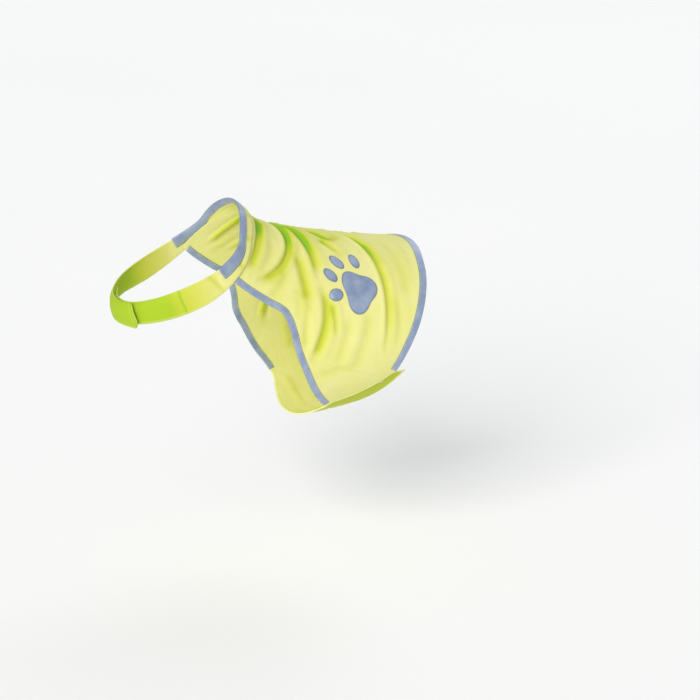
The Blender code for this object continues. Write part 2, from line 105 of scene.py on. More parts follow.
# The folds, each a trough along a bent line: ring and angle of its start, middle and end, half
# width, depth at the start and at the end in mm, height of the soft ridge beside it (positive
# behind a line that runs down the left flank), and how sharp the lip is and on which side
folds = (
    # the left side, the largest first
    (0.44, 3, 1.00, 44, 1.26, 64, 6.2, 5.4, 2.2, 0.4, -0.6),
    (1.28, -5, 1.80, 37, 1.58, 66, 5.8, 5.0, 3.2, 0.4, -0.9),
    (1.62, -3, 2.16, 24, 2.56, 50, 6.8, 5.8, 2.4, 0.4, -0.9),
    (2.03, 38, 2.33, 53, 2.60, 68, 7.5, 2.6, 3.0, 0.4, -0.5),
    (2.34, -1, 2.74, 14, 3.08, 5, 6.0, 3.6, 1.5, 0.4, -0.4),
    (2.51, 17, 2.72, 23, 2.92, 29, 5.0, 2.8, 1.8, 0.4, -0.4),
    (3.16, -4, 3.78, 41, 4.18, 92, 5.6, 4.0, 2.0, 0.4, -0.9),
    (2.78, 60, 3.05, 78, 3.14, 96, 6.6, 2.8, 3.2, 0.4, -0.5),
    (3.03, 67, 3.18, 76, 3.30, 84, 4.6, 2.2, 1.2, 0.4, -0.3),
    # the left side's lesser ones
    (0.98, 52, 1.17, 64, 1.24, 74, 4.0, 1.6, 0.8, 0.4, -0.4),
    (1.32, 34, 1.50, 50, 1.46, 66, 6.0, 0.9, 0.6, 0.4, 0.0),
    (1.95, 52, 2.02, 62, 2.00, 72, 6.0, 0.9, 1.0, -0.4, 0.0),
    (2.30, 60, 2.50, 70, 2.62, 80, 5.0, 1.0, 0.6, 0.4, 0.2),
    (2.62, 66, 2.76, 80, 2.96, 92, 6.0, 0.8, 1.6, 0.4, 0.0),
    (3.42, 76, 3.50, 88, 3.52, 100, 7.0, 1.0, 0.8, 0.4, 0.0),
    (3.72, 72, 3.80, 86, 3.82, 102, 7.0, 1.1, 0.7, -0.4, 0.0),
    (3.56, 14, 3.74, 26, 3.88, 36, 5.0, 0.9, 0.5, 0.4, 0.0),
    (4.02, 10, 4.24, 36, 4.36, 62, 9.0, 0.9, 1.2, 0.4, 0.0),
    (4.40, 16, 4.50, 36, 4.52, 56, 8.0, 0.8, 0.6, -0.4, 0.0),
    (4.12, 60, 4.30, 78, 4.36, 92, 7.0, 0.8, 0.7, 0.4, 0.0),
    (3.36, 106, 3.62, 103, 3.90, 101, 5.0, 1.0, 0.5, 0.4, 0.0),
    (2.90, 34, 3.04, 30, 3.18, 26, 5.0, 0.8, 0.6, 0.3, 0.0),
    # the right side's, as uneven, where a strap closes under the belly and pulls less
    (0.74, -14, 1.16, -42, 1.34, -62, 5.0, 4.2, 2.6, -0.4, 0.6),
    (1.42, -8, 1.88, -30, 1.82, -58, 5.2, 4.0, 3.0, -0.4, 0.8),
    (2.00, -10, 2.36, -34, 2.50, -62, 5.6, 4.5, 2.0, -0.4, 0.8),
    (2.80, -12, 3.00, -26, 3.10, -44, 4.6, 2.6, 2.0, -0.4, 0.4),
    (3.50, -8, 3.86, -38, 4.02, -84, 5.6, 3.6, 2.2, -0.4, 0.7),
    (2.84, -58, 3.16, -80, 3.34, -98, 5.4, 2.5, 3.0, -0.4, 0.4),
    (1.60, -46, 1.62, -58, 1.56, -68, 5.0, 1.0, 0.8, 0.4, 0.0),
    (2.16, -56, 2.26, -66, 2.34, -74, 6.0, 1.2, 0.8, -0.4, 0.0),
    (2.60, -50, 2.74, -64, 2.84, -80, 7.0, 1.3, 1.0, 0.4, 0.0),
    (3.24, -40, 3.40, -62, 3.52, -88, 8.0, 1.2, 0.8, 0.4, 0.0),
    (3.62, -90, 3.80, -104, 3.98, -122, 7.0, 0.8, 1.6, -0.4, 0.0),
    (4.20, -14, 4.34, -40, 4.40, -72, 9.0, 1.0, 0.8, 0.4, 0.0),
    (3.10, -6, 3.22, -16, 3.28, -28, 5.0, 1.2, 0.6, 0.4, 0.0),
    # the belly, where the strap is drawn across
    (3.92, -142, 4.00, -160, 3.98, -184, 6.0, 1.2, 0.8, 0.4, 0.0),
    (4.24, -136, 4.26, -158, 4.20, -176, 6.0, 0.9, 1.0, -0.4, 0.0),
    (4.06, -186, 4.08, -200, 4.10, -216, 6.0, 0.8, 1.1, 0.4, 0.0),
    (4.50, -104, 4.42, -118, 4.36, -132, 5.0, 0.8, 0.6, 0.4, 0.0),
)


def smooth_rows(table, place):
    """The table's numbers at fractional places, on a smooth curve through its rows. It runs
    straight on for one row before the first."""
    rows = np.array(table, float)
    first, last = rows[0] - rows[1], rows[-1] - rows[-2]
    ends = np.vstack([rows[0] + 2 * first, rows[0] + first, rows, rows[-1] + last])
    place = np.clip(place, -1, len(rows) - 1 - 1e-9) + 1
    low = np.floor(place).astype(int)
    f = (place - low)[..., None]
    a, b, c, d = ends[low], ends[low + 1], ends[low + 2], ends[low + 3]
    curve = 2 * b + (c - a) * f + (2 * a - 5 * b + 4 * c - d) * f**2
    return 0.5 * (curve + (3 * b - a - 3 * c + d) * f**3)


def trunk_point(ring, angle):
    """Points of the general figure's trunk, in mm."""
    ring, angle = np.broadcast_arrays(np.asarray(ring, float), np.asarray(angle, float))
    top_y, top_z, low_y, low_z, half, full, narrow = np.moveaxis(smooth_rows(trunk, ring), -1, 0)
    up, out = np.cos(np.radians(angle)), np.sin(np.radians(angle))
    narrowing = 1 - narrow * np.maximum(0, -up) ** 2
    up = np.sign(up) * np.abs(up) ** (2 / full)
    out = np.sign(out) * np.abs(out) ** (2 / full)
    x = half * out * narrowing
    y = (top_y + low_y) / 2 + (top_y - low_y) / 2 * up
    z = (top_z + low_z) / 2 + (top_z - low_z) / 2 * up
    return np.stack([x, y, z], -1)


def unit(vectors):
    return vectors / np.linalg.norm(vectors, axis=-1, keepdims=True)


def trunk_ways(ring, angle):
    """The trunk's way back per ring, its way down per degree, and its outward normal."""
    back = (trunk_point(ring + 0.01, angle) - trunk_point(ring - 0.01, angle)) / 0.02
    down = trunk_point(ring, angle + 0.5) - trunk_point(ring, angle - 0.5)
    return back, down, unit(np.cross(down, back))


def fold_height(ring, angle):
    """How far the folds move the cloth out, and how deep in a trough it is, both in mm. Each
    fold's line is a bend through its three spots, cut into 16 straight pieces."""
    point = trunk_point(ring, angle).reshape(-1, 3)
    normal = trunk_ways(ring, angle)[2].reshape(-1, 3)
    height, depth = np.zeros(len(point)), np.zeros(len(point))
    steps = np.linspace(0, 1, 17)
    bend = np.stack([(1 - steps) * (1 - 2 * steps), 4 * steps * (1 - steps), steps * (2 * steps - 1)])
    for row in folds:
        curve = bend.T @ np.array(row[:6], float).reshape(3, 2)
        width, first, last, ridge_side, lip = row[6:]
        line = trunk_point(curve[:, 0], curve[:, 1])
        reach = np.linalg.norm(line - line[8], axis=1).max() + 5 * width
        near = np.flatnonzero(np.linalg.norm(point - line[8], axis=1) < reach)
        if not len(near):
            continue
        spot, out = point[near], normal[near]
        best, along, side = np.full(len(near), 1e9), np.zeros(len(near)), np.zeros(len(near))
        for i in range(16):
            way = line[i + 1] - line[i]
            part = np.clip((spot - line[i]) @ way / (way @ way), 0, 1)
            gap = spot - line[i] - part[:, None] * way
            far = np.linalg.norm(gap, axis=1)
            closer = far < best
            best = np.where(closer, far, best)
            along = np.where(closer, (i + part) / 16, along)
            side = np.where(closer, far * np.sign((np.cross(out, way) * gap).sum(1)), side)
        # A fold runs out toward both its ends.
        strength = (first + (last - first) * along) * np.minimum(1, 6 * (1 - along) + 0.25)
        strength = strength * np.minimum(1, 5 * along + 0.3)
        steep = np.where(side * lip > 0, 1 - 0.5 * abs(lip), 1 + 0.35 * abs(lip))
        trough = np.exp(-((best / width / steep) ** 2))
        end = np.exp(-((np.maximum(0, best - 3 * width) / width) ** 2))
        ridge = np.exp(-((side * np.sign(ridge_side) / width - 1.7) ** 2))
        crest = np.exp(-(((side * np.sign(lip) / width - 1.25) / 0.6) ** 2))
        beside = (abs(ridge_side) * ridge + 0.3 * abs(lip) * crest) * end
        height[near] += strength * (beside - trough)
        depth[near] += strength * np.exp(-((best / width / steep / 1.3) ** 2))
    return height.reshape(np.shape(ring)), depth.reshape(np.shape(ring))


class Cut:
    """A piece of cloth cut between two edges and laid on the trunk. Its middle lies off_trunk mm
    from the trunk, before lifts and folds."""

    def __init__(self, lines, off_trunk, has_folds):
        self.rows = np.array(lines, float)
        self.last = len(lines) - 1.0
        self.off_trunk = off_trunk
        self.has_folds = has_folds

    def line(self, place):
        """The cut's lines at fractional places, with the corners of its edges softened."""
        place = np.asarray(place, float)
        soft = np.minimum(0.35, np.minimum(place, self.last - place))
        found = 0
        for step in (-1, -0.5, 0, 0.5, 1):
            spot = place + step * soft
            low = np.clip(spot.astype(int), 0, len(self.rows) - 2)
            way = self.rows[low + 1] - self.rows[low]
            found = found + (self.rows[low] + way * (spot - low)[..., None]) / 5
        return found

    def spot(self, place, fraction):
        """Ring and angle at a fraction of the way along a line."""
        line = self.line(place)
        bow = line[..., 4] * 4 * fraction * (1 - fraction)
        ring = line[..., 0] + (line[..., 2] - line[..., 0]) * fraction
        return ring, line[..., 1] + (line[..., 3] - line[..., 1]) * fraction + bow

    def place_of(self, ring, angle):
        """The line and the fraction on which a ring and an angle lie."""
        places = np.linspace(0, self.last, 400)
        line = self.line(places)
        fraction = (np.ravel(ring)[:, None] - line[:, 0]) / (line[:, 2] - line[:, 0])
        bow = line[:, 4] * 4 * fraction * (1 - fraction)
        angles = line[:, 1] + (line[:, 3] - line[:, 1]) * fraction + bow
        turn = np.sign(line[-1, 1] - line[0, 1])
        passed = np.maximum.accumulate(angles * turn, axis=1)
        place = [np.interp(a * turn, row, places) for a, row in zip(np.ravel(angle), passed)]
        return np.array(place).reshape(np.shape(ring))

    def raised(self, ring, angle, place):
        """Points of the cloth's middle, and the depth of the folds there."""
        lift = self.line(place)[..., 5]
        height, depth = fold_height(ring, angle) if self.has_folds else (0 * lift, 0 * lift)
        band_edge = np.interp(np.abs(angle), *np.transpose(under_band))
        start = np.clip((ring - band_edge + 0.1) / fold_start, 0, 1)
        fade = start * start * (3 - 2 * start) * np.clip((rear_tape_ring - ring) / 0.25, 0, 1)
        out = self.off_trunk + lift + height * fade
        return trunk_point(ring, angle) + trunk_ways(ring, angle)[2] * out[..., None], depth * fade

    def surface(self, ring, angle):
        """Points and normals of the cloth at any ring and angle."""
        place = self.place_of(ring, angle)
        point = self.raised(ring, angle, place)[0]
        back = self.raised(ring + 0.01, angle, place)[0] - point
        down = self.raised(ring, angle + 0.5, place)[0] - point
        return point, unit(np.cross(down, back))

    def grid(self, step, cell, start_hem, end_hem, edge_hem, corner=0.01):
        """A grid of the whole cut: lines about a step apart, with cells of that size along them,
        closer together at the hems. The last end's corners are rounded off by that radius."""
        places = np.linspace(0, self.last, 2001)
        ring, angle = self.spot(places[:, None], np.linspace(0, 1, 5)[None, :] + 0 * places[:, None])
        steps = np.linalg.norm(np.diff(trunk_point(ring, angle), axis=0), axis=2).max(1)
        run = np.concatenate([[0], np.cumsum(steps)])
        marks = spread(run[-1], step, start_hem, end_hem)
        places = np.interp(marks, run, places)
        ring, angle = self.spot(places[:, None], np.linspace(0, 1, 13)[None, :] + 0 * places[:, None])
        lengths = np.linalg.norm(np.diff(trunk_point(ring, angle), axis=1), axis=2).sum(1)
        count = len(spread(lengths.max(), cell, edge_hem, edge_hem))
        inner = count - 2 * len(edge_hem)
        hem = np.array((0.0,) + tuple(edge_hem))
        fractions = []
        short = np.clip(1 - (run[-1] - marks) / corner, 0, 1)
        for length, inset in zip(lengths, corner * (1 - np.sqrt(1 - short**2))):
            middle = np.linspace(inset + hem[-1], length - hem[-1] - inset, inner)[1:-1]
            fractions.append(np.concatenate([inset + hem, middle, length - inset - hem[::-1]]) / length)
        fractions = np.array(fractions)
        places = places[:, None] + 0 * fractions
        ring, angle = self.spot(places, fractions)
        points, depth = self.raised(ring, angle, places)
        from_front = fractions * lengths[:, None]
        from_start = marks[:, None] + 0 * from_front
        return dict(
            points=points,
            normals=outward(points, trunk_ways(ring, angle)[2]),
            depth=depth,
            place=places,
            fraction=fractions,
            ring=ring,
            angle=angle,
            front=from_front,
            rear=lengths[:, None] - from_front,
            start=from_start,
            end=run[-1] - from_start,
        )


def outward(points, out):
    """Normals of a grid of points, on the side that the given directions face."""
    normals = unit(np.cross(np.gradient(points, axis=1), np.gradient(points, axis=0)))
    return normals if (normals * out).sum() > 0 else -normals


def spread(length, cell, start_hem, end_hem):
    """Distances from 0 to length: the given ones at each end, and even cells between."""
    start = np.array((0.0,) + tuple(start_hem))
    end = length - np.array((0.0,) + tuple(end_hem))[::-1]
    count = max(2, int(round((end[0] - start[-1]) / cell)))
    return np.concatenate([start, np.linspace(start[-1], end[0], count + 1)[1:-1], end])


def cloth_shell(name, points, normals, half, marks, look):
    """Cloth with a thin wall: the grid moved out and in by half the wall, joined by a round edge."""
    wide, long = points.shape[:2]
    count = wide * long
    half = np.broadcast_to(half, (wide, long))[..., None]
    rim = [(i, 0) for i in range(wide)] + [(wide - 1, j) for j in range(1, long)]
    rim += [(i, long - 1) for i in range(wide - 2, -1, -1)] + [(0, j) for j in range(long - 2, 0, -1)]
    rim = np.array(rim)
    inner = np.clip(rim, 1, [wide - 2, long - 2])
    edge = points[rim[:, 0], rim[:, 1]]
    away = unit(edge - points[inner[:, 0], inner[:, 1]])
    bulge = edge + away * half[rim[:, 0], rim[:, 1]] * 0.8
    outside = (points + normals * half).reshape(-1, 3)
    inside = (points - normals * half).reshape(-1, 3)
    coordinates = np.concatenate([outside, inside, bulge]) * 0.001
    first = (np.arange(wide - 1)[:, None] * long + np.arange(long - 1)[None, :]).ravel()
    top = np.stack([first, first + 1, first + long + 1, first + long], 1)
    under = top[:, ::-1] + count
    outer = rim[:, 0] * long + rim[:, 1]
    following = np.roll(outer, -1)
    middle = 2 * count + np.arange(len(rim))
    after = np.roll(middle, -1)
    upper = np.stack([outer, following, after, middle], 1)
    lower = np.stack([middle, after, following + count, outer + count], 1)
    faces = np.concatenate([top, under, upper, lower]).astype(np.int32)
    if (np.cross(np.gradient(points, axis=1), np.gradient(points, axis=0)) * normals).sum() < 0:
        faces = faces[:, ::-1]
    mesh = bpy.data.meshes.new(name)
    mesh.vertices.add(len(coordinates))
    mesh.vertices.foreach_set("co", coordinates.ravel())
    mesh.loops.add(faces.size)
    mesh.loops.foreach_set("vertex_index", faces.ravel())
    mesh.polygons.add(len(faces))
    mesh.polygons.foreach_set("loop_start", np.arange(0, faces.size, 4, dtype=np.int32))
    mesh.update(calc_edges=True)
    mesh.validate()
    # The cloth's own map is its flat cut: how far each point is along the grid and across it.
    along = np.cumsum(np.linalg.norm(np.diff(points, axis=1, prepend=points[:, :1]), axis=2), 1)
    across = np.cumsum(np.linalg.norm(np.diff(points, axis=0, prepend=points[:1]), axis=2), 0)
    flat = np.stack([along, across], -1)
    flat = np.concatenate([flat.reshape(-1, 2), flat.reshape(-1, 2), flat[rim[:, 0], rim[:, 1]]]) * 0.001
    corners = np.empty(len(mesh.loops), np.int32)
    mesh.loops.foreach_get("vertex_index", corners)
    mesh.uv_layers.new(name="cut").data.foreach_set("uv", flat[corners].ravel())
    for mark, values in marks.items():
        values = np.broadcast_to(values, (wide, long))
        values = np.concatenate([values.ravel(), values.ravel(), values[rim[:, 0], rim[:, 1]]])
        attribute = mesh.attributes.new(mark, "FLOAT", "POINT")
        attribute.data.foreach_set("value", values.astype(np.float32))
    mesh.polygons.foreach_set("use_smooth", np.ones(len(mesh.polygons), bool))
    mesh.materials.append(look)
    piece = bpy.data.objects.new(name, mesh)
    bpy.context.scene.collection.objects.link(piece)
    return piece


def linear(code):
    """An sRGB hex colour as the linear numbers that a shader takes."""
    channels = [int(code[i : i + 2], 16) / 255 for i in (0, 2, 4)]
    return [c / 12.92 if c <= 0.04045 else ((c + 0.055) / 1.055) ** 2.4 for c in channels] + [1.0]


def add(look, kind, settings=(), **inputs):
    """One node of a material, with its settings and with its inputs set or linked. An input is
    named, or is i and its number."""
    node = look.node_tree.nodes.new("ShaderNode" + kind)
    for key, value in dict(settings).items():
        setattr(node, key, value)
    for key, value in inputs.items():
        socket = node.inputs[int(key[1:]) if key[1:].isdigit() else key.replace("_", " ")]
        if isinstance(value, bpy.types.NodeSocket):
            look.node_tree.links.new(value, socket)
        else:
            socket.default_value = value
    return node


def new_look(name, **shader):
    """A material with a Principled surface, its constant values on the shader's own sockets."""
    look = bpy.data.materials.new(name)
    look.use_nodes = True
    surface = look.node_tree.nodes["Principled BSDF"]
    for key, value in shader.items():
        surface.inputs[key.replace("_", " ")].default_value = value
    return look, surface


# Fluorescent polyester tricot, knitted and heat-set: matt and soft at grazing angles. Its folds are
# painted with shade, deeper yellow and then greener, standing in for light passed between yellow walls.
cloth_look, surface = new_look(
    "fluorescent polyester tricot, knitted",
    Roughness=0.8,
    IOR=1.5,
    Sheen_Weight=0.12,
    Sheen_Roughness=0.5,
    Sheen_Tint=linear("E4F060"),
)
links = cloth_look.node_tree.links
# A mix of two colours takes its share at input 0 and the colours at 6 and 7, and gives output 2.
colours = {"data_type": "RGBA"}
# The attribute read here is painted shade: where it is marked the colour turns deeper yellow, then green.
painted_shade_mark = add(cloth_look, "Attribute", {"attribute_name": "painted_shade"}).outputs["Fac"]
hem_mark = add(cloth_look, "Attribute", {"attribute_name": "hem"}).outputs["Fac"]
flat_cut = add(cloth_look, "UVMap", {"uv_map": "cut"}).outputs[0]
place = add(cloth_look, "TexCoord").outputs["Object"]
mottle = add(cloth_look, "TexNoise", Vector=place, Scale=28.0, Detail=3.0).outputs["Fac"]
shade = add(cloth_look, "Mix", colours, i0=mottle, i6=linear("DCDB78"), i7=linear("E7E3A0"))
deep = add(cloth_look, "Mix", colours, i0=painted_shade_mark, i6=shade.outputs[2], i7=linear("C2C600"))
deepest = add(cloth_look, "Math", {"operation": "POWER"}, i0=painted_shade_mark, i1=9.0)
green = add(cloth_look, "Mix", colours, i0=deepest.outputs[0], i6=deep.outputs[2], i7=linear("86B80C"))
pale = add(cloth_look, "Mix", colours, i0=hem_mark, i6=green.outputs[2], i7=linear("E9E99A"))
links.new(pale.outputs[2], surface.inputs["Base Color"])
# The knit's ribs lie 0.4 mm apart, too fine to show, so they are drawn four times as coarse. The
# bands of a wave texture are this many m apart at scale 1.
wave_bands = 0.314
rib_way, course_way = {"bands_direction": "X"}, {"bands_direction": "Y"}
rib = add(cloth_look, "TexWave", rib_way, Vector=flat_cut, Scale=wave_bands / 0.0016, Distortion=0.6)
course = add(cloth_look, "TexWave", course_way, Vector=flat_cut, Scale=wave_bands / 0.0020, Distortion=0.6)
knit = add(cloth_look, "Math", {"operation": "MULTIPLY"}, i0=rib.outputs["Fac"], i1=course.outputs["Fac"])
crumple = add(cloth_look, "TexNoise", Vector=place, Scale=90.0, Detail=4.0).outputs["Fac"]
ribs = add(cloth_look, "Bump", Strength=0.25, Distance=0.0002, Height=knit.outputs[0])
soft = add(cloth_look, "Bump", Strength=0.35, Distance=0.0012, Height=crumple, Normal=ribs.outputs[0])
links.new(soft.outputs[0], surface.inputs["Normal"])

cloth_wall = 1.0
hem_width = 3.2
hem_steps = (0.8, 1.8, 2.8, 3.8, 5.4)
panel = Cut(panel_lines, off_trunk=1.0, has_folds=True)
laid = panel.grid(3.7, 2.05, hem_steps, hem_steps, hem_steps)
# The long edges are under the tapes as far as place 23.9. Past it, on the strap, they are hemmed
# as the two ends are.
past_tapes = np.clip((laid["place"] - 23.9) / 0.2, 0, 1)
long_edge = np.minimum(laid["front"], laid["rear"]) + 99 * (1 - past_tapes)
edge = np.minimum(np.minimum(laid["start"], laid["end"]), long_edge)
hem = np.clip((hem_width + 0.5 - edge) / 0.8, 0, 1)
half = cloth_wall / 2 + 0.35 * hem
# The needle line that holds the hook patch inside the near flap draws the cloth in a little. It
# slants from the leg opening to the hem: rings and angles.
flap_seam = np.array(((3.06, 96.6), (3.25, 98.4), (3.60, 101.5), (3.90, 105.0), (4.22, 110.3)))
mm_per_degree = 2.2
off_seam = (laid["angle"] - np.interp(laid["ring"], *flap_seam.T)) * mm_per_degree
sewn = np.exp(-((off_seam / 3.0) ** 2)) * (np.abs(laid["ring"] - 3.64) < 0.58)
points = laid["points"] - laid["normals"] * (0.4 * sewn)[..., None]
# The strap's outside under the near flap is lit only through the cloth.
shaded = 0.86 * np.clip((laid["place"] - 26) / 1.5, 0, 1)
# Near the spine the painted shade is strongest: the folds there may turn greenest, and the cloth
# between them is painted darker as well, ahead of ring 3.3.
off_spine = np.abs(laid["angle"])
most = 0.84 + 0.16 * np.clip((40 - off_spine) / 14, 0, 1)
spine_shade = 0.28 * np.clip((36 - off_spine) / 22, 0, 1) * np.clip((3.3 - laid["ring"]) / 0.5, 0, 1)
full_depth = 3.4
# The cloth's painted shade, as one mark: a fold trough's depth, the spine's shade and the strap's shade.
painted_shade = np.maximum(np.clip(laid["depth"] / full_depth + spine_shade, 0, most), shaded)
piece = cloth_shell("panel_cloth", points, laid["normals"], half, {"painted_shade": painted_shade, "hem": hem}, cloth_look)
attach(piece, "root")
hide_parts("body_panel")

# ---------------------------------------------------------------- collar band
# The band that closes round the neck, of the same cloth folded double. It is sewn over the panel's
# front edge, and its far end passes outside the near one at the throat.

# upper ring and angle, lower ring and angle, bow in degrees, lift in mm
band_lines = (
    (0.04, 206, 1.03, 203, 0, 0),
    (0.00, 180, 1.00, 180, 0, 0),
    (0.12, 143, 1.10, 141, 0, 0),
    (0.36, 113, 1.21, 113, 0, 0),
    (0.52, 96, 1.26, 98, 0, 0),
    (0.60, 82, 1.26, 85, 0, 0),
    (0.54, 71, 1.20, 73, 0, 0),
    (0.36, 60, 1.08, 61, 0, 0),
    (-0.06, 51, 0.86, 51, 0, 0),
    (-0.45, 39, 0.46, 39, 0, 0),
    (-0.74, 22, 0.00, 22, 0, 0),
    (-0.88, 0, -0.16, 0, 0, 0),
    (-0.74, -22, 0.00, -22, 0, 0),
    (-0.45, -39, 0.46, -39, 0, 0),
    (-0.06, -51, 0.86, -51, 0, 0),
    (0.36, -60, 1.08, -61, 0, 0),
    (0.54, -71, 1.20, -73, 0, 0),
    (0.60, -82, 1.26, -85, 0, 0),
    (0.52, -96, 1.26, -98, 0, 0),
    (0.36, -113, 1.21, -113, 0, 1.2),
    (0.04, -143, 0.98, -143, 0, 5.4),
    (0.02, -177, 1.00, -178, 0, 5.8),
    (0.16, -196, 1.06, -197, 0, 5.8),
    (0.34, -206, 1.14, -210, 0, 6.8),
)
# The band's place at the nape, where the line of the spine crosses it
nape = 11
# The buckles where the band bends round the opening: place, slant, half width in places, depth
# in mm
buckles = (
    (4.6, 0.4, 0.15, 0.7),
    (6.6, -0.5, 0.2, 0.9),
    (8.2, 0.7, 0.16, 0.8),
    (9.9, 0.3, 0.15, 0.6),
    (11.4, -0.4, 0.18, 0.8),
    (13.8, 0.6, 0.16, 0.7),
    (15.8, -0.3, 0.16, 0.6),
    (3.0, 0.0, 0.03, 0.5),
)
band_wall = 1.6
edge_steps = (0.7, 1.5, 2.3, 3.2)
corner_steps = (0.1, 0.4, 0.9, 1.6, 2.4, 3.4, 4.6)
band = Cut(band_lines, off_trunk=3.1, has_folds=False)
laid = band.grid(1.9, 1.9, edge_steps, corner_steps, edge_steps, corner=9.0)
edge = np.minimum(np.minimum(laid["start"], laid["end"]), np.minimum(laid["front"], laid["rear"]))
# The two layers puff a little between their seams, and thin out to the round edge.
puff = 0.2 * np.clip((edge - 9) / 5.0, 0, 1) ** 0.5
half = band_wall / 2 * (0.55 + 0.45 * np.clip(edge / 2.0, 0, 1)) + puff
buckle = 0.0
for at, slant, wide, deep in buckles:
    off_line = laid["place"] - at - slant * (laid["fraction"] - 0.5)
    buckle = buckle + deep * np.exp(-((off_line / wide) ** 2))
# Under the tape the band stays flat.
off_nape = np.abs(laid["place"] - nape)
free = np.maximum(np.clip((laid["front"] - 10) / 4, 0, 1), off_nape > 6.4)
drawn_in = buckle * free * np.clip(edge / 4.0, 0.25, 1)
points = laid["points"] - laid["normals"] * drawn_in[..., None]
# Painted shade: toward the throat the band is painted deeper yellow-green, and so is each buckle.
throat_shade = 0.95 * np.clip((off_nape - 6.2) / 2.2, 0, 1) ** 0.6
# The band's painted shade mark, from its buckles' depth and the throat's shade.
marks = {"painted_shade": np.clip(buckle / 1.6 + throat_shade, 0, 1), "hem": np.clip((1.4 - edge) / 0.8, 0, 1) * 0.3}
piece = cloth_shell("band_cloth", points, laid["normals"], half, marks, cloth_look)
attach(piece, "root")
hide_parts("collar_band")

# ---------------------------------------------------------------- reflective tapes
# Reflective tape folded in half over each open edge and sewn through: glass beads on a woven
# backing, so it looks blue-grey and even by daylight. One on each leg opening, the hem and collar.

# Retroreflective tape, glass beads bonded on polyester: pale blue-grey with a soft metallic gloss
# and a fine diagonal grain from the backing, with painted shade along its cut edges, needle lines and
# fold.
tape_look, surface = new_look(
    "retroreflective tape, bead-coated",
    Metallic=0.25,
    IOR=1.5,
    Coat_Weight=0.15,
    Coat_Roughness=0.35,
)
links = tape_look.node_tree.links
place = add(tape_look, "TexCoord").outputs["Object"]
flat_cut = add(tape_look, "UVMap", {"uv_map": "cut"}).outputs[0]
# This mark is painted shade: the tape is painted darker where it is set.
painted_edge_shade = add(tape_look, "Attribute", {"attribute_name": "hem"}).outputs["Fac"]
patchy = add(tape_look, "TexNoise", Vector=place, Scale=60.0, Detail=4.0).outputs["Fac"]
shade = add(tape_look, "Mix", colours, i0=patchy, i6=linear("637AA4"), i7=linear("B4C0D4"))
dark = add(tape_look, "Mix", colours, i0=painted_edge_shade, i6=shade.outputs[2], i7=linear("62727F"))
links.new(dark.outputs[2], surface.inputs["Base Color"])
gloss = add(tape_look, "MapRange", Value=patchy, To_Min=0.34, To_Max=0.55)
links.new(gloss.outputs[0], surface.inputs["Roughness"])
# The backing's twill is 0.5 mm apart, drawn at 1.5 mm so that it shows.
turned = add(tape_look, "Mapping", Vector=flat_cut, Rotation=(0, 0, 0.7))
twill = add(tape_look, "TexWave", Vector=turned.outputs[0], Scale=wave_bands / 0.0015, Distortion=0.4)
beads = add(tape_look, "TexNoise", Vector=place, Scale=900.0, Detail=1.0).outputs["Fac"]
grain = add(tape_look, "Bump", Strength=0.3, Distance=0.0002, Height=twill.outputs["Fac"])
fine = add(tape_look, "Bump", Strength=0.25, Distance=0.0002, Height=beads, Normal=grain.outputs[0])
links.new(fine.outputs[0], surface.inputs["Normal"])

# The tape's section on one side of the edge, from its inner line out to the fold: reach in from
# the edge, height of the tape's middle over the cloth's
tape_section = (
    (9.6, 0.70),
    (9.0, 0.86),
    (8.2, 0.78),
    (7.2, 0.98),
    (5.4, 1.12),
    (3.2, 1.15),
    (1.4, 1.08),
    (0.2, 0.98),
)
tape_width = 9.6
tape_half = 0.22
fold_radius = 0.98
needle_line = 8.2
thread_height = 1.08
# The section is for cloth of this half wall. On thicker cloth the tape stands out further.
section_half = 0.5


def run_along(line):
    """How far along a line of points each one is."""
    return np.concatenate([[0], np.cumsum(np.linalg.norm(np.diff(line, axis=0), axis=1))])


def along_edge(cut, first, last, side, step):
    """Rings, angles and ways along a cut's front edge (side 0) or rear edge (side 1)."""
    places = np.linspace(first, last, 1200)
    ring, angle = cut.spot(places, side + 0 * places)
    run = run_along(trunk_point(ring, angle))
    marks = np.linspace(0, run[-1], int(round(run[-1] / step)) + 1)
    ring, angle = np.interp(marks, run, ring), np.interp(marks, run, angle)
    inner = cut.spot(np.interp(marks, run, places), abs(side - 0.1) + 0 * marks)
    back, down, normal = trunk_ways(ring, angle)
    way = unit(np.gradient(trunk_point(ring, angle), axis=0))
    inward = unit(np.cross(normal, way))
    to_inner = trunk_point(*inner) - trunk_point(ring, angle)
    inward = inward * np.sign((inward * to_inner).sum(1))[:, None]
    return ring, angle, back, down, way, inward, marks


def from_edge(cut, edge, reach, slide):
    """Points and normals of the cloth at a distance in from the edge. Over the last 8 mm at each
    end they slide along the edge, which cuts the tape off slantwise."""
    ring, angle, back, down, way, inward, marks = edge
    start = np.clip(1 - marks / 8, 0, 1) * slide[0]
    end = np.clip(1 - (marks[-1] - marks) / 8, 0, 1) * slide[1]
    step = inward * reach + way * ((start + end) * reach / tape_width)[:, None]
    solve = np.linalg.pinv(np.stack([back, down], 2)) @ step[..., None]
    return cut.surface(ring + solve[:, 0, 0], angle + solve[:, 1, 0])


